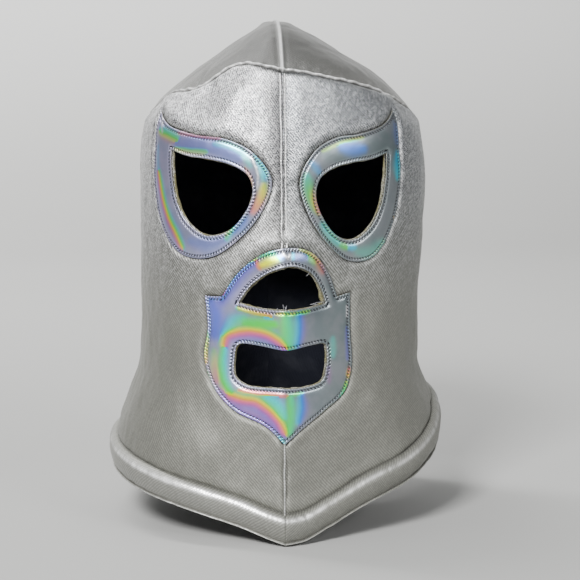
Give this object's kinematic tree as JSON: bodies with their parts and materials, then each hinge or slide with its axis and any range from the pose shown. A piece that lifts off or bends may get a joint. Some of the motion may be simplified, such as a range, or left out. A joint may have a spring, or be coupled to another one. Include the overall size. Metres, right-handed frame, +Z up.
{
  "type": "luchador mask",
  "caption": "Full-head wrestling mask of foam-backed silver cloth with padded hem and holographic facings round the eyes, nose and mouth.",
  "frame": {"origin": "inside of the crown's top, where the wearer's head bears", "axes": "+Z up, the face looks along -Y, +X to the right of someone facing the mask"},
  "size_m": [0.2007, 0.2138, 0.2977],
  "materials": {
    "silver_cloth": "silver lame bonded to foam, satin sheen",
    "hologram_foil": "holographic film on cloth, bright rainbow glints"
  },
  "bodies": {
    "root": {"face_panel_left": "silver_cloth", "face_panel_right": "silver_cloth", "crown_panel_left": "silver_cloth", "crown_panel_right": "silver_cloth", "hem_band_left": "silver_cloth", "hem_band_right": "silver_cloth", "eye_trim_left": "hologram_foil", "eye_trim_right": "hologram_foil", "nose_mouth_trim": "hologram_foil", "seam_strip_upper": "silver_cloth", "seam_strip_lower": "silver_cloth"}
  },
  "joints": []
}
